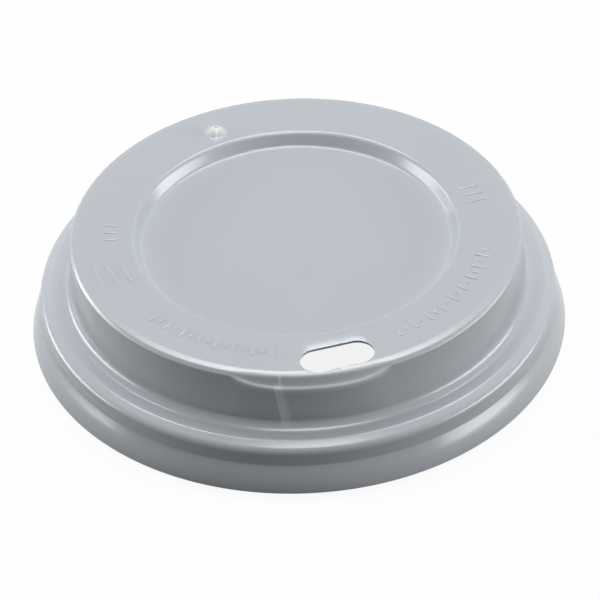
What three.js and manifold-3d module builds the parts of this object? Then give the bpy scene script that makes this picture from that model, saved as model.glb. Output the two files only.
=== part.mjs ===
// Sip-through lid of a takeaway coffee cup, formed as one piece from thin sheet.
// Millimetres, +Z up, standing on its skirt, the drinking side towards -Y.
import * as THREE from 'three';
import { mergeVertices } from 'three/addons/utils/BufferGeometryUtils.js';
import Module from 'manifold-3d';

// The sheet.
const sheet = 0.45;

// Heights, each one measured from the level before it.
const neckHeight = 4.5;
const ringHeight = 4;
const domeHeight = 10.4;
const recessDepth = 2.3;
const edgeDrop = 0.27;
const crownDrop = 0.8;

// Radii, the first one in full and the others as steps outward or inward from it.
const domeRadius = 39.3;
const shelfWidth = 11.1;
const edgeWidth = 1.55;
const recessTaper = 1.2;
const wallTaper = 0.65;
const ringWidth = 3.3;
const crownWidth = 2.05;
const undercut = 0.25;
const skirtFlare = 1.95;
const skirtBow = 0.3;

// How far the folds are rounded on the outer face, and how far the edge is taken off.
const recessFloorRound = 0.7;
const recessLipRound = 1;
const slopeRound = 1.5;
const edgeRound = 1;
const edgeCut = 0.5;
const footRound = 1.95;
const crownRound = 1.6;
const shoulderRound = 1.5;
const neckRound = 0.45;
const bowRound = 12;

// The crescent for the lower lip in the upper wall, below the sip hole.
const lipAngle = -87.5;
const lipSpan = 40;
const lipDrop = 1.5;
const lipBulge = 0.45;
const lipHollow = 0.2;
const lipRound = 0.5;

// The sip hole, a slot with round ends.
const sipAngle = -80;
const sipFromEdge = 4.35;
const sipLength = 12.7;
const sipWidth = 5.8;
const sipTurn = 5.5;

// The vent, a small hollow pimple with a pinhole in its top.
const ventAngle = 115.5;
const ventFromRecess = 4.4;
const ventRadius = 1.65;
const ventHeight = 1.15;
const ventTopRadius = 0.75;
const pinholeDiameter = 0.6;

// Angles between two sections of the lid, around the ring and across the lip crescent.
const coarseStep = 7.5;
const fineStep = 1.25;

const ringLevel = neckHeight + ringHeight;
const topLevel = ringLevel + domeHeight;
const edgeLevel = topLevel - edgeDrop;
const recessLevel = topLevel - recessDepth;
const recessRadius = domeRadius - shelfWidth;
const footRadius = domeRadius + wallTaper;
const crownRadius = footRadius + ringWidth;
const shoulderRadius = crownRadius + crownWidth;
const neckRadius = shoulderRadius - undercut;
const skirtRadius = neckRadius + skirtFlare;

const wasm = await Module();
wasm.setup();

const rad = THREE.MathUtils.degToRad;

// How strong the lip crescent is at an angle, 1 in its middle and 0 at its ends.
function lipAt(angle) {
  const across = Math.min(1, Math.abs(angle - lipAngle) / (lipSpan / 2));
  return 1 - across ** 4;
}

// Corners of the edge at an angle: where the top face turns down, the hollow of the lip
// crescent, and where the wall begins.
function edgeCorners(angle) {
  const strength = lipAt(angle);
  const slope = new THREE.Vector2(edgeWidth, -edgeDrop).setLength(edgeCut);
  const top = new THREE.Vector2(domeRadius, edgeLevel).sub(slope);
  const drop = edgeCut + lipDrop * strength;
  const draft = wallTaper * drop / (edgeLevel - ringLevel);
  const rim = new THREE.Vector2(domeRadius + draft + lipBulge * strength, edgeLevel - drop);
  const way = rim.clone().sub(top);
  const inward = new THREE.Vector2(way.y, -way.x).setLength(lipHollow * strength);
  const hollow = top.clone().lerp(rim, 0.5 + 0.28 * strength).add(inward);
  return [
    [top.x, top.y, edgeRound, 4],
    [hollow.x, hollow.y, lipRound, 2],
    [rim.x, rim.y, edgeRound, 4],
  ];
}

// Corners of the outer face from the middle of the recess to the foot of the skirt.
// Each has a radius, a height, a rounding and the number of facets of that rounding.
function outerCorners(angle) {
  const bow = new THREE.Vector2(neckHeight, skirtFlare).setLength(skirtBow);
  return [
    [0, recessLevel, 0, 0],
    [recessRadius - recessTaper, recessLevel, recessFloorRound, 2],
    [recessRadius, topLevel, recessLipRound, 4],
    [domeRadius - edgeWidth, topLevel, slopeRound, 1],
    ...edgeCorners(angle),
    [footRadius, ringLevel, footRound, 6],
    [crownRadius, ringLevel, crownRound, 2],
    [shoulderRadius, ringLevel - crownDrop, shoulderRound, 5],
    [neckRadius, neckHeight, neckRound, 2],
    [neckRadius + skirtFlare / 2 + bow.x, neckHeight / 2 + bow.y, bowRound, 4],
    [skirtRadius, 0, 0, 0],
  ];
}

// Crossing of two lines, each given by a point and a direction.
function crossing(p, u, q, v) {
  const turn = u.cross(v);
  if (Math.abs(turn) < 1e-9) return q.clone();
  return p.clone().addScaledVector(u, q.clone().sub(p).cross(v) / turn);
}

// The same corners on the inner face, one sheet further in, with half as many facets.
function innerCorners(corners) {
  const points = corners.map(([radius, height]) => new THREE.Vector2(radius, height));
  const ways = points.slice(1).map((point, i) => point.clone().sub(points[i]).normalize());
  const moved = ways.map((way, i) => {
    const inward = new THREE.Vector2(-way.y, way.x).multiplyScalar(-sheet);
    return points[i].clone().add(inward);
  });
  const axis = new THREE.Vector2(0, corners[0][1] - sheet);
  const level = new THREE.Vector2(1, 0);
  return corners.map(([, , rounding, facets], i) => {
    if (i === 0) return [0, axis.y, 0, 0];
    if (i === ways.length) {
      const end = crossing(moved[i - 1], ways[i - 1], points[i], level);
      return [end.x, 0, 0, 0];
    }
    const corner = crossing(moved[i - 1], ways[i - 1], moved[i], ways[i]);
    const outwardFold = ways[i - 1].cross(ways[i]) < 0;
    const tight = outwardFold ? rounding - sheet : rounding + sheet;
    return [corner.x, corner.y, Math.max(tight, sheet / 4), Math.ceil(facets / 2)];
  });
}

// Points along a line of corners, each corner replaced by its arc.
function rounded(corners) {
  const at = (i) => new THREE.Vector2(corners[i][0], corners[i][1]);
  return corners.flatMap(([, , rounding, facets], i) => {
    if (facets === 0) return [at(i)];
    const back = at(i - 1).sub(at(i));
    const ahead = at(i + 1).sub(at(i));
    const room = 0.48 * Math.min(back.length(), ahead.length());
    back.normalize();
    ahead.normalize();
    const half = Math.acos(THREE.MathUtils.clamp(-back.dot(ahead), -1, 1)) / 2;
    const reach = Math.min(room, rounding * Math.tan(half));
    const start = at(i).addScaledVector(back, reach);
    const end = at(i).addScaledVector(ahead, reach);
    const arc = new THREE.QuadraticBezierCurve(start, at(i), end);
    if (half < 1e-4) return arc.getPoints(facets);
    const radius = reach / Math.tan(half);
    const middle = back.clone().add(ahead).normalize();
    const centre = at(i).addScaledVector(middle, radius / Math.cos(half));
    const from = start.clone().sub(centre);
    const sweep = Math.sign(back.cross(ahead)) * -2 * half;
    return Array.from({ length: facets + 1 }, (_, k) => (
      from.clone().rotateAround(new THREE.Vector2(), sweep * k / facets).add(centre)
    ));
  });
}

// The closed section of the sheet at an angle, from the axis below to the axis above.
function sectionAt(angle) {
  const outer = outerCorners(angle);
  return [...rounded(innerCorners(outer)), ...rounded(outer).reverse()];
}

// Angles of all sections, close together across the lip crescent.
function sectionAngles() {
  const start = lipAngle - lipSpan / 2;
  const past = (angle) => (angle - start + 360) % 360;
  const fine = Math.max(4, Math.round(lipSpan / fineStep));
  const coarse = Math.round(360 / coarseStep);
  const across = Array.from({ length: fine + 1 }, (_, i) => start + lipSpan * i / fine);
  const around = Array.from({ length: coarse }, (_, i) => 360 * i / coarse)
    .filter((angle) => past(angle) > lipSpan + fineStep / 2 && past(angle) < 360 - fineStep / 2)
    .sort((a, b) => past(a) - past(b));
  return [...across, ...around];
}

// Solid with a closed section that goes once around the axis and may change on the way.
function spunSolid(angles, section) {
  const rings = angles.map((angle) => section(angle > 180 ? angle - 360 : angle));
  const count = rings[0].length;
  const positions = rings.flatMap((ring, i) => ring.flatMap(({ x, y }) => (
    [x * Math.cos(rad(angles[i])), x * Math.sin(rad(angles[i])), y]
  )));
  const index = [];
  for (let i = 0; i < rings.length; i += 1) {
    const here = i * count;
    const next = ((i + 1) % rings.length) * count;
    for (let k = 0; k < count - 1; k += 1) {
      index.push(here + k, next + k, next + k + 1);
      index.push(here + k, next + k + 1, here + k + 1);
    }
  }
  const geometry = new THREE.BufferGeometry();
  geometry.setAttribute('position', new THREE.Float32BufferAttribute(positions, 3));
  geometry.setIndex(index);
  return solidOf(geometry);
}

// Solid of a closed geometry, without the empty triangles at its poles.
function solidOf(geometry) {
  geometry.deleteAttribute('normal');
  geometry.deleteAttribute('uv');
  const merged = mergeVertices(geometry, 1e-4);
  const corners = merged.index.array;
  const kept = [];
  for (let i = 0; i < corners.length; i += 3) {
    const [a, b, c] = corners.slice(i, i + 3);
    if (a !== b && b !== c && c !== a) kept.push(a, b, c);
  }
  return new wasm.Manifold(new wasm.Mesh({
    numProp: 3,
    vertProperties: new Float32Array(merged.attributes.position.array),
    triVerts: new Uint32Array(kept),
  }));
}

function geometryOf(solid) {
  const mesh = solid.getMesh();
  const geometry = new THREE.BufferGeometry();
  geometry.setAttribute('position', new THREE.BufferAttribute(mesh.vertProperties, 3));
  geometry.setIndex(new THREE.BufferAttribute(mesh.triVerts, 1));
  geometry.computeVertexNormals();
  return geometry;
}

// Places a geometry on the lid at a radius, an angle and a height.
function placed(geometry, radius, angle, height) {
  return geometry.rotateZ(rad(angle)).translate(
    radius * Math.cos(rad(angle)),
    radius * Math.sin(rad(angle)),
    height,
  );
}

// The punch of the sip hole, its long side along the edge of the lid.
function sipPunch() {
  const end = sipWidth / 2;
  const straight = Math.max(0, sipLength / 2 - end);
  const outline = new THREE.Shape();
  outline.absarc(0, straight, end, 0, Math.PI, false);
  outline.absarc(0, -straight, end, Math.PI, 2 * Math.PI, false);
  outline.closePath();
  const depth = 6 * sheet;
  const punch = new THREE.ExtrudeGeometry(outline, {
    depth, bevelEnabled: false, curveSegments: 16,
  });
  punch.rotateZ(rad(sipTurn)).translate(0, 0, -depth / 2);
  return solidOf(placed(punch, domeRadius - sipFromEdge, sipAngle, topLevel - sheet / 2));
}

// A pimple with rounded sides that ends at the given depth below the top face.
function pimple(radius, topRadius, height, depth) {
  const profile = rounded([
    [0, -depth, 0, 0],
    [radius, -depth, 0, 0],
    [radius, 0, 0, 0],
    [topRadius, height, topRadius / 2, 3],
    [0, height, 0, 0],
  ]);
  return new THREE.LatheGeometry(profile, 20).rotateX(Math.PI / 2);
}

function ventParts() {
  const radius = recessRadius + ventFromRecess;
  const put = (geometry) => solidOf(placed(geometry, radius, ventAngle, topLevel));
  const pinholeDepth = 2 * (ventHeight + sheet);
  const pinhole = new THREE.CylinderGeometry(
    pinholeDiameter / 2, pinholeDiameter / 2, pinholeDepth, 12,
  ).rotateX(Math.PI / 2).translate(0, 0, ventHeight);
  return {
    skin: put(pimple(ventRadius, ventTopRadius, ventHeight, sheet / 2)),
    hollow: put(pimple(
      Math.max(ventRadius - sheet, ventRadius / 4),
      Math.max(ventTopRadius - sheet / 2, ventTopRadius / 4),
      Math.max(ventHeight - sheet, ventHeight / 4),
      2 * sheet,
    )),
    pinhole: put(pinhole),
  };
}

function lidSolid() {
  const vent = ventParts();
  return spunSolid(sectionAngles(), sectionAt)
    .add(vent.skin)
    .subtract(vent.hollow)
    .subtract(vent.pinhole)
    .subtract(sipPunch());
}

const polystyrene = new THREE.MeshStandardMaterial({
  color: 0xd3d6d9, roughness: 0.38, metalness: 0,
});
polystyrene.name = 'white_polystyrene';

const lid = new THREE.Mesh(geometryOf(lidSolid()), polystyrene);
lid.name = 'lid';

const group = new THREE.Group();
group.name = 'coffee_cup_lid';
group.add(lid);

export default group;
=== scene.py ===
import math

import bmesh
import bpy
from mathutils import Matrix, Vector


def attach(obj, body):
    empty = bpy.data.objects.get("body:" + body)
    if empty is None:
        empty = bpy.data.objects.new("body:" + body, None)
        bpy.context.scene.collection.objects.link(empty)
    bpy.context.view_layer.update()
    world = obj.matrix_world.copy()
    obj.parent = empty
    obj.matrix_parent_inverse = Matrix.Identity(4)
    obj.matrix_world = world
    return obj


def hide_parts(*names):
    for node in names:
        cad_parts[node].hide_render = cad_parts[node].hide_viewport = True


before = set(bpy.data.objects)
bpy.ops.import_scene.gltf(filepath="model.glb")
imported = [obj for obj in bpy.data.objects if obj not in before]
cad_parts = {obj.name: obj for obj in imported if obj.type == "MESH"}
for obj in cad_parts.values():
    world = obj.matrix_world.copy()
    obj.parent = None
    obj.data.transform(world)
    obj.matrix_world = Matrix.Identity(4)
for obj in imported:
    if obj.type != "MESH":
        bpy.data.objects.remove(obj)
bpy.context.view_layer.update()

MM = 0.001

# Sizes of the lid in millimetres, as in the solid apart from the vent.
SHEET = 0.45
NECK_LEVEL, RING_LEVEL, TOP_LEVEL, RECESS_LEVEL, EDGE_LEVEL = 4.5, 8.5, 18.9, 16.6, 18.63
DOME_RADIUS, RECESS_RADIUS, RECESS_TAPER, WALL_TAPER, EDGE_WIDTH = 39.3, 28.2, 1.2, 0.65, 1.55
EDGE_INSET, EDGE_RISE, EDGE_CUT = 0.493, 0.086, 0.5
RING_WIDTH, CROWN_WIDTH, CROWN_DROP, UNDERCUT = 3.3, 2.05, 0.8, 0.25
SKIRT_FLARE, SKIRT_BOW_OUT, SKIRT_BOW_UP = 1.95, 1.25, 0.12
FOOT_RADIUS = DOME_RADIUS + WALL_TAPER
CROWN_RADIUS = FOOT_RADIUS + RING_WIDTH
SHOULDER_RADIUS = CROWN_RADIUS + CROWN_WIDTH
NECK_RADIUS = SHOULDER_RADIUS - UNDERCUT
SKIRT_RADIUS = NECK_RADIUS + SKIRT_FLARE
LIP_ANGLE, LIP_SPAN, LIP_DROP, LIP_BULGE, LIP_HOLLOW = -87.5, 40, 1.5, 0.45, 0.2
SIP_ANGLE, SIP_RADIUS, SIP_LENGTH, SIP_WIDTH, SIP_TURN = -80, 34.95, 12.7, 5.8, 5.5

# The bars on the top face and the softened cut edges, which the solid doesn't have.
RIDGE_HEIGHT, RIDGE_WIDTH, RIDGE_SINK = 0.2, 0.55, 0.03
CUT_BEVEL = 0.07

# The vent is wider and softer than the solid's, and 0.5 mm further in.
VENT_ANGLE, VENT_RADIUS = 115.3, 32.1
VENT_FOOT, VENT_HEIGHT, HOLLOW_FOOT, HOLLOW_HEIGHT, PINHOLE_RADIUS = 1.95, 1.04, 1.4, 0.9, 0.17

# Degrees between the sections across the lip crescent and around the rest.
LIP_STEP, STEP = 0.5, 1.25


class Wire:
    """A value in a shader, used in Python expressions."""

    def __init__(self, shader, socket):
        self.shader = shader
        self.socket = socket

    def math(self, operation, *values):
        return self.shader.add("ShaderNodeMath", {"operation": operation}, dict(enumerate(values)))

    def __add__(self, other):
        return self.math("ADD", self, other)

    __radd__ = __add__

    def __sub__(self, other):
        return self.math("SUBTRACT", self, other)

    def __rsub__(self, other):
        return self.math("SUBTRACT", other, self)

    def __mul__(self, other):
        return self.math("MULTIPLY", self, other)

    def __pow__(self, other):
        return self.math("POWER", self, other)

    def __abs__(self):
        return self.math("ABSOLUTE", self)

    def larger(self, other):
        return self.math("MAXIMUM", self, other)

    def angle(self, other):
        return self.math("ARCTAN2", self, other)

    def fade(self, start, end):
        """0 before start and 1 after end, smooth between them."""
        return self.shader.add(
            "ShaderNodeMapRange",
            {"interpolation_type": "SMOOTHSTEP"},
            {"Value": self, "From Min": start, "From Max": end},
        )


class Shader:
    """A node tree that is written as expressions."""

    def __init__(self, owner):
        owner.use_nodes = True
        self.tree = owner.node_tree
        self.tree.nodes.clear()

    def add(self, kind, settings=None, values=None, output=0):
        node = self.tree.nodes.new(kind)
        for name, value in (settings or {}).items():
            setattr(node, name, value)
        for key, value in (values or {}).items():
            if isinstance(value, Wire):
                self.tree.links.new(value.socket, node.inputs[key])
            else:
                node.inputs[key].default_value = value
        return Wire(self, node.outputs[output]) if node.outputs else node

    def mixed(self, factor, first, second):
        return self.add(
            "ShaderNodeMix",
            {"data_type": "RGBA"},
            {"Factor": factor, 6: first, 7: second},
            output=2,
        )

    def noise(self, vector, scale, detail):
        return self.add(
            "ShaderNodeTexNoise", values={"Vector": vector, "Scale": scale, "Detail": detail}
        )


def lip_painted_highlights(turn, z):
    """How much painted highlight and painted light lighten the wall at the lip: a painted highlight
    along its ledge, a painted light streak and painted light over its hollow.
    """
    across = (turn - math.radians(LIP_ANGLE)) * (2 / math.radians(LIP_SPAN))
    square = across * across
    strength = (1 - square * square).larger(0.0)
    rim = 0.01813 - strength * 0.0015
    # painted highlight: a pale line along the ledge of the lip
    ledge = (1 - abs(z - rim).fade(0.0001, 0.0012)) * strength.fade(0.0, 0.5)
    # painted light: a pale streak running down the wall below the lip
    streak_turn, streak_top, streak_lean = -1.689, 0.0165, 4.0
    offset = turn - streak_turn - (streak_top - z) * streak_lean
    band = offset.fade(0.0, 0.006) * (1 - offset.fade(0.020, 0.062))
    band = band * (1 - z.fade(0.0165, 0.0178)) * z.fade(0.0085, 0.0110)
    line_turn = -1.662
    line = (1 - abs(turn - line_turn).fade(0.003, 0.010)) * z.fade(0.0160, 0.0166)
    # painted light: the hollow of the lip lightened as if it were lit more
    hollow = strength * z.fade(0.0164, 0.0171) * (1 - z.fade(0.0180, 0.0187))
    return ledge * 0.4 + (band * 0.55).larger(line * 0.45) + hollow * 0.16


def vent_whitening(x, y):
    """1 at the middle of the vent, fading out to its foot."""
    centre = ring_point(VENT_RADIUS, VENT_ANGLE, 0)
    aside, beyond = x - centre.x, y - centre.y
    return 1 - ((aside * aside + beyond * beyond) ** 0.5).fade(0.0005, 0.0023)


def polystyrene():
    """Satin sheet: a cloudy tone, drawn streaks on the walls, painted highlights and painted light on
    the wall at the lip, and a pale cream tint at the vent.
    """
    material = bpy.data.materials.new("white_polystyrene")
    shader = Shader(material)
    place = shader.add("ShaderNodeTexCoord", output=3)
    x, y, z = (
        shader.add("ShaderNodeSeparateXYZ", values={0: place}, output=i) for i in range(3)
    )
    radius = (x * x + y * y) ** 0.5
    turn = y.angle(x)
    unrolled = shader.add(
        "ShaderNodeCombineXYZ", values={"X": turn * 0.04, "Y": z * 0.06, "Z": radius * 0.1}
    )
    streaks = shader.noise(unrolled, 900.0, 4.0)
    clouds = shader.noise(place, 55.0, 4.0)
    swell = shader.noise(place, 38.0, 1.0)
    wall = radius.fade(0.0384, 0.0389) * (1 - radius.fade(0.0404, 0.0412))

    tone = clouds * 0.5 + streaks * wall * 0.25
    colour = shader.mixed(tone, (0.440, 0.472, 0.506, 1), (0.480, 0.512, 0.546, 1))
    # painted highlights and painted light at the lip: the wall's colour is mixed towards near white
    # there
    colour = shader.mixed(lip_painted_highlights(turn, z) * wall, colour, (0.90, 0.93, 0.96, 1))
    colour = shader.mixed(vent_whitening(x, y) * 0.75, colour, (0.78, 0.76, 0.73, 1))
    height = swell + streaks * wall * 0.12
    bump = shader.add(
        "ShaderNodeBump", values={"Strength": 0.5, "Distance": 0.00022, "Height": height}
    )
    surface = shader.add("ShaderNodeBsdfPrincipled", values={
        "Base Color": colour,
        "Roughness": 0.21 + clouds * 0.04,
        "IOR": 1.56,
        "Normal": bump,
    })
    shader.add("ShaderNodeOutputMaterial", values={"Surface": surface})
    return material


def edge_corners(angle):
    """Corners of the edge: where the top turns down, the lip hollow, the wall's start."""
    across = min(1.0, abs(angle - LIP_ANGLE) / (LIP_SPAN / 2))
    strength = 1 - across ** 4
    top = Vector((DOME_RADIUS - EDGE_INSET, EDGE_LEVEL + EDGE_RISE))
    drop = EDGE_CUT + LIP_DROP * strength
    draft = WALL_TAPER * drop / (EDGE_LEVEL - RING_LEVEL)
    rim = Vector((DOME_RADIUS + draft + LIP_BULGE * strength, EDGE_LEVEL - drop))
    way = (rim - top).normalized()
    hollow = top.lerp(rim, 0.5 + 0.28 * strength)
    hollow += Vector((way.y, -way.x)) * (LIP_HOLLOW * strength)
    return [(*top, 1, 8), (*hollow, 0.5, 4), (*rim, 1, 8)]


def outer_corners(angle):
    """Corners of the outer face: radius, height, rounding and number of facets."""
    return [
        (0, RECESS_LEVEL, 0, 0),
        (RECESS_RADIUS - RECESS_TAPER, RECESS_LEVEL, 0.7, 6),
        (RECESS_RADIUS, TOP_LEVEL, 1, 10),
        (DOME_RADIUS - EDGE_WIDTH, TOP_LEVEL, 1.5, 3),
        *edge_corners(angle),
        (FOOT_RADIUS, RING_LEVEL, 1.95, 14),
        (CROWN_RADIUS, RING_LEVEL, 1.6, 6),
        (SHOULDER_RADIUS, RING_LEVEL - CROWN_DROP, 1.5, 14),
        (NECK_RADIUS, NECK_LEVEL, 0.45, 6),
        (NECK_RADIUS + SKIRT_BOW_OUT, NECK_LEVEL / 2 + SKIRT_BOW_UP, 12, 8),
        (SKIRT_RADIUS, 0, 0, 0),
    ]


def crossing(p, u, q, v):
    """Where two lines meet, each with a point and a direction."""
    turn = u.cross(v)
    return q.copy() if abs(turn) < 1e-9 else p + u * ((q - p).cross(v) / turn)


def inner_corners(corners):
    """The corners one sheet further in."""
    points = [Vector(corner[:2]) for corner in corners]
    ways = [(b - a).normalized() for a, b in zip(points, points[1:])]
    moved = [a + Vector((way.y, -way.x)) * SHEET for a, way in zip(points, ways)]
    result = [(0, corners[0][1] - SHEET, 0, 0)]
    for i in range(1, len(ways)):
        at = crossing(moved[i - 1], ways[i - 1], moved[i], ways[i])
        outward = ways[i - 1].cross(ways[i]) < 0
        rounding = corners[i][2] - SHEET if outward else corners[i][2] + SHEET
        result.append((at.x, at.y, max(rounding, SHEET / 4), (corners[i][3] + 1) // 2))
    end = crossing(moved[-1], ways[-1], points[-1], Vector((1, 0)))
    return result + [(end.x, 0, 0, 0)]


def rounded(corners):
    """Points along the corners, each corner replaced by its arc."""
    points = [Vector(corner[:2]) for corner in corners]
    line = []
    for i, (_, _, rounding, facets) in enumerate(corners):
        if not facets:
            line.append(points[i])
            continue
        back = points[i - 1] - points[i]
        ahead = points[i + 1] - points[i]
        room = 0.48 * min(back.length, ahead.length)
        back.normalize()
        ahead.normalize()
        half = math.acos(max(-1.0, min(1.0, -back.dot(ahead)))) / 2
        reach = min(room, rounding * math.tan(half))
        start = points[i] + back * reach
        end = points[i] + ahead * reach
        if half < 1e-4:
            line += [start.lerp(end, k / facets) for k in range(facets + 1)]
            continue
        centre = points[i] + (back + ahead).normalized() * (reach / math.sin(half))
        sweep = -2 * half if back.cross(ahead) > 0 else 2 * half
        for k in range(facets + 1):
            turned = Matrix.Rotation(sweep * k / facets, 2) @ (start - centre)
            line.append(centre + turned)
    return line


def section_at(angle):
    """The closed section of the sheet, from the axis below to the axis above."""
    outer = outer_corners(angle)
    return rounded(inner_corners(outer)) + rounded(outer)[::-1]


def section_angles():
    """Angles of the sections in degrees, closer together across the lip crescent."""
    start = LIP_ANGLE - LIP_SPAN / 2
    across = [start + LIP_STEP * i for i in range(int(LIP_SPAN / LIP_STEP))]
    rest = int((360 - LIP_SPAN) / STEP)
    return across + [start + LIP_SPAN + STEP * i for i in range(rest)]


def ring_point(radius, angle, height):
    """A point in metres from a radius, an angle in degrees and a height."""
    turn = math.radians(angle)
    return Vector((radius * math.cos(turn), radius * math.sin(turn), height)) * MM


def spun_sheet():
    """The formed sheet without its openings."""
    mesh = bmesh.new()
    angles = section_angles()
    poles = [
        mesh.verts.new(ring_point(0, 0, RECESS_LEVEL - SHEET)),
        mesh.verts.new(ring_point(0, 0, RECESS_LEVEL)),
    ]
    rings = []
    for angle in angles:
        section = section_at(angle if angle <= 180 else angle - 360)[1:-1]
        rings.append([mesh.verts.new(ring_point(p.x, angle, p.y)) for p in section])
    for here, following in zip(rings, rings[1:] + rings[:1]):
        mesh.faces.new((poles[0], following[0], here[0]))
        mesh.faces.new((poles[1], here[-1], following[-1]))
        for k in range(len(here) - 1):
            mesh.faces.new((here[k], following[k], following[k + 1], here[k + 1]))
    return mesh


def made(mesh, name):
    """An object of a finished bmesh, with its faces turned outward."""
    bmesh.ops.recalc_face_normals(mesh, faces=mesh.faces)
    data = bpy.data.meshes.new(name)
    mesh.to_mesh(data)
    mesh.free()
    item = bpy.data.objects.new(name, data)
    bpy.context.scene.collection.objects.link(item)
    return item


def prism(outline, low, high):
    """A bmesh prism over a closed outline of (x, y) in millimetres."""
    mesh = bmesh.new()
    below = [mesh.verts.new(Vector((x, y, low)) * MM) for x, y in outline]
    above = [mesh.verts.new(Vector((x, y, high)) * MM) for x, y in outline]
    mesh.faces.new(below[::-1])
    mesh.faces.new(above)
    for i in range(len(outline)):
        j = (i + 1) % len(outline)
        mesh.faces.new((below[i], below[j], above[j], above[i]))
    return mesh


def sip_punch():
    """The slot with round ends, its long side along the edge."""
    end = SIP_WIDTH / 2
    straight = SIP_LENGTH / 2 - end
    half = [
        (end * math.cos(math.pi * k / 24), straight + end * math.sin(math.pi * k / 24))
        for k in range(25)
    ]
    outline = half + [(-x, -y) for x, y in half]
    punch = prism(outline, -2, 2)
    centre = ring_point(SIP_RADIUS, SIP_ANGLE, TOP_LEVEL)
    turn = Matrix.Rotation(math.radians(SIP_ANGLE + SIP_TURN), 4, "Z")
    bmesh.ops.transform(punch, matrix=Matrix.Translation(centre) @ turn, verts=punch.verts)
    return made(punch, "sip_punch")


def turned_part(profile, name, facets=48):
    """A small turned form at the vent, from its profile in millimetres."""
    mesh = bmesh.new()
    verts = [mesh.verts.new(Vector((x, 0, z)) * MM) for x, z in profile]
    edges = [mesh.edges.new(pair) for pair in zip(verts, verts[1:])]
    bmesh.ops.spin(
        mesh, geom=verts + edges, axis=(0, 0, 1), cent=(0, 0, 0),
        angle=2 * math.pi, steps=facets, use_merge=True,
    )
    bmesh.ops.remove_doubles(mesh, verts=mesh.verts, dist=1e-7)
    bmesh.ops.contextual_create(mesh, geom=[edge for edge in mesh.edges if edge.is_boundary])
    centre = ring_point(VENT_RADIUS, VENT_ANGLE, TOP_LEVEL)
    bmesh.ops.translate(mesh, vec=centre, verts=mesh.verts)
    return made(mesh, name)


def vent_parts():
    """Skin and hollow of the vent pimple, and its pinhole."""
    def bell(foot, height):
        reach = [foot * (1 - k / 16) for k in range(17)]
        return [(x, height * (1 - (x / foot) ** 2) ** 1.4) for x in reach]

    skin = [(0, -0.2), (VENT_FOOT, -0.2)]
    skin += [(x, z - 0.01) for x, z in bell(VENT_FOOT, VENT_HEIGHT)]
    hollow = [(0, -1), (HOLLOW_FOOT, -1)]
    hollow += [(x, z - SHEET + 0.01) for x, z in bell(HOLLOW_FOOT, HOLLOW_HEIGHT)]
    pinhole = [(0, -1), (PINHOLE_RADIUS, -1), (PINHOLE_RADIUS, 2), (0, 2)]
    return (
        turned_part(skin, "vent_skin"),
        turned_part(hollow, "vent_hollow"),
        turned_part(pinhole, "vent_pinhole", 24),
    )


def apply_modifiers(item):
    """Bakes the modifiers of a piece into its mesh."""
    depsgraph = bpy.context.evaluated_depsgraph_get()
    data = bpy.data.meshes.new_from_object(item.evaluated_get(depsgraph))
    item.modifiers.clear()
    item.data = data


def combined(item, tool, operation):
    """Joins or cuts a piece with a tool, which is then gone."""
    step = item.modifiers.new(operation.lower(), "BOOLEAN")
    step.operation = operation
    step.object = tool
    step.solver = "EXACT"
    apply_modifiers(item)
    bpy.data.objects.remove(tool)


def ridge(mesh, start, end):
    """A low ridge with round ends on the top face, between two points in millimetres."""
    along = (end - start).normalized()
    side = Vector((-along.y, along.x))
    rows = []
    for origin, way, turns in ((start, along, (15, 40, 65, 90)), (end, -along, (90, 65, 40, 15))):
        for turn in map(math.radians, turns):
            spot = origin + way * (RIDGE_WIDTH / 2 * (1 - math.cos(turn)))
            row = []
            for k in range(7):
                swing = math.pi * k / 6
                point = spot + side * (RIDGE_WIDTH / 2 * math.sin(turn) * math.cos(swing))
                level = TOP_LEVEL - RIDGE_SINK + RIDGE_HEIGHT * math.sin(turn) * math.sin(swing)
                row.append(mesh.verts.new(Vector((*point, level)) * MM))
            rows.append(row)
    for here, following in zip(rows, rows[1:]):
        for k in range(6):
            mesh.faces.new((here[k], here[k + 1], following[k + 1], following[k]))
    for row in (rows[0], rows[-1]):
        mesh.faces.new(row)


def raised_marks():
    """Plain bars pressed up out of the top face."""
    mesh = bmesh.new()

    def local(radius, angle, across, outward):
        turn = math.radians(angle)
        out = Vector((math.cos(turn), math.sin(turn)))
        side = Vector((out.y, -out.x))
        return out * (radius + outward) + side * across

    def stroke(radius, angle, points):
        ridge(mesh, *(local(radius, angle, *point) for point in points))

    def bars(radius, start, end, count, lengths):
        for i in range(count):
            reach = lengths[i % len(lengths)] / 2
            stroke(radius, start + (end - start) * i / (count - 1), [(0, -reach), (0, reach)])

    bars(33.1, -137, -95.5, 16, (2.6, 1.4, 2.6, 0.8))
    bars(33.1, -60, -13.5, 18, (2.6, 1.4, 2.6, 0.8))
    bars(32.2, 175, 182, 3, (2.4,))
    for outward in (-2.4, 0, 2.4):
        stroke(33.4, -161, [(-2.9, outward), (2.9, outward)])
    for across in (-2, 0, 2):
        stroke(32.2, 14.6, [(across, -2), (across, 2)])
    return made(mesh, "raised_marks")


def formed_lid():
    """The whole lid: sheet, vent, slot and marks."""
    lid = made(spun_sheet(), "formed_lid")
    skin, hollow, pinhole = vent_parts()
    combined(lid, skin, "UNION")
    combined(lid, hollow, "DIFFERENCE")
    combined(lid, pinhole, "DIFFERENCE")
    combined(lid, sip_punch(), "DIFFERENCE")
    edge = lid.modifiers.new("cut_edges", "BEVEL")
    edge.width = CUT_BEVEL * MM
    edge.segments = 2
    edge.limit_method = "ANGLE"
    edge.angle_limit = math.radians(50)
    apply_modifiers(lid)
    marks = raised_marks()
    joined = bmesh.new()
    joined.from_mesh(lid.data)
    joined.from_mesh(marks.data)
    joined.to_mesh(lid.data)
    joined.free()
    bpy.data.objects.remove(marks)
    lid.data.materials.clear()
    lid.data.materials.append(polystyrene())
    lid.data.polygons.foreach_set("use_smooth", [True] * len(lid.data.polygons))
    lid.data.set_sharp_from_angle(angle=math.radians(32))
    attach(lid, "root")
    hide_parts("lid")
    return lid


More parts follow.
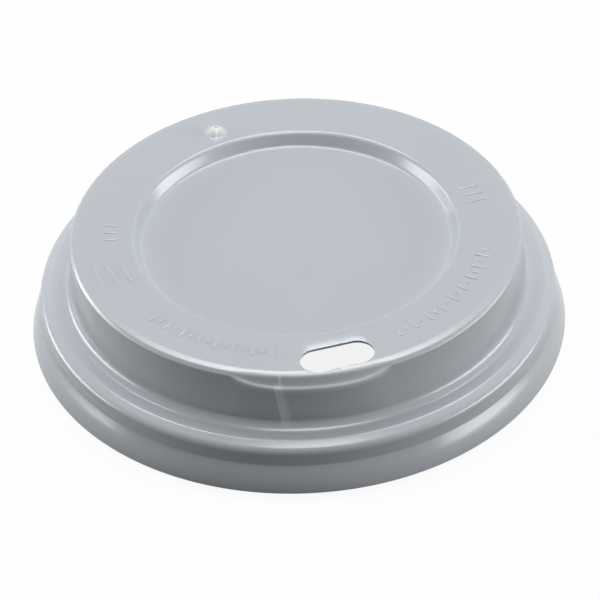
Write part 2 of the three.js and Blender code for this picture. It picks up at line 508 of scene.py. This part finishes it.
def photo_camera():
    """The camera of the photograph, above the drinking side."""
    distance, elevation = 0.564, math.radians(39.666)
    yaw, pitch, roll = (math.radians(angle) for angle in (0.029, 0.226, -2.117))
    camera = bpy.data.objects.new("camera", bpy.data.cameras.new("camera"))
    camera.data.sensor_width = 36
    camera.data.lens = 191.03
    camera.data.clip_start = 0.01
    camera.matrix_world = (
        Matrix.Translation((0, -distance * math.cos(elevation), distance * math.sin(elevation)))
        @ Matrix.Rotation(math.pi / 2 - elevation, 4, "X")
        @ Matrix.Rotation(-yaw, 4, "Y")
        @ Matrix.Rotation(pitch, 4, "X")
        @ Matrix.Rotation(roll, 4, "Z")
    )
    bpy.context.scene.collection.objects.link(camera)
    bpy.context.scene.camera = camera


def seen_directly(shader):
    """1 where the camera, a reflection or a clear piece shows a surface, otherwise 0."""
    outputs = [shader.add("ShaderNodeLightPath", output=name) for name in
               ("Is Camera Ray", "Is Glossy Ray", "Is Transmission Ray")]
    return outputs[0].larger(outputs[1]).larger(outputs[2])


def studio():
    """Pale floor, white surroundings and soft lamps."""
    floor_mesh = bmesh.new()
    bmesh.ops.create_grid(floor_mesh, x_segments=1, y_segments=1, size=3)
    floor = made(floor_mesh, "floor")
    paint = bpy.data.materials.new("floor_paint")
    shader = Shader(paint)
    seen = seen_directly(shader)
    tone = shader.mixed(seen, (0.03, 0.03, 0.03, 1), (0.9, 0.9, 0.9, 1))
    lit = shader.add("ShaderNodeBsdfDiffuse", values={"Color": tone})
    white = shader.add("ShaderNodeEmission", values={"Color": (1, 1, 1, 1), "Strength": 1.0})
    shown = shader.add("ShaderNodeMixShader", values={0: seen * 0.88, 1: lit, 2: white})
    shader.add("ShaderNodeOutputMaterial", values={"Surface": shown})
    floor.data.materials.append(paint)
    floor.location.z = -0.0001

    world = bpy.data.worlds.new("studio")
    bpy.context.scene.world = world
    shader = Shader(world)
    dim = shader.add("ShaderNodeBackground", values={"Color": (0.9, 0.95, 1, 1), "Strength": 0.02})
    white = shader.add("ShaderNodeBackground", values={"Color": (1, 1, 1, 1), "Strength": 1.0})
    sky = shader.add("ShaderNodeMixShader", values={0: seen_directly(shader), 1: dim, 2: white})
    shader.add("ShaderNodeOutputWorld", values={"Surface": sky})

    for name, place, width, depth, power in (
        ("overhead", (0.04, -0.12, 0.9), 0.4, 0.4, 2.9),
        ("highlight", (0.0, 0.36, 0.82), 0.85, 0.28, 4.9),
        ("right_side", (0.84, -0.12, 0.14), 0.9, 0.26, 4.6),
        ("left_side", (-0.84, 0.2, 0.14), 0.9, 0.26, 4.8),
    ):
        data = bpy.data.lights.new(name, "AREA")
        data.shape = "ELLIPSE"
        data.size = width
        data.size_y = depth
        data.energy = power
        lamp = bpy.data.objects.new(name, data)
        lamp.location = place
        lamp.rotation_euler = (Vector(place) - Vector((0, 0, 0.01))).to_track_quat("Z", "Y").to_euler()
        bpy.context.scene.collection.objects.link(lamp)


photo_camera()
formed_lid()
studio()
bpy.context.scene.view_settings.view_transform = "Standard"
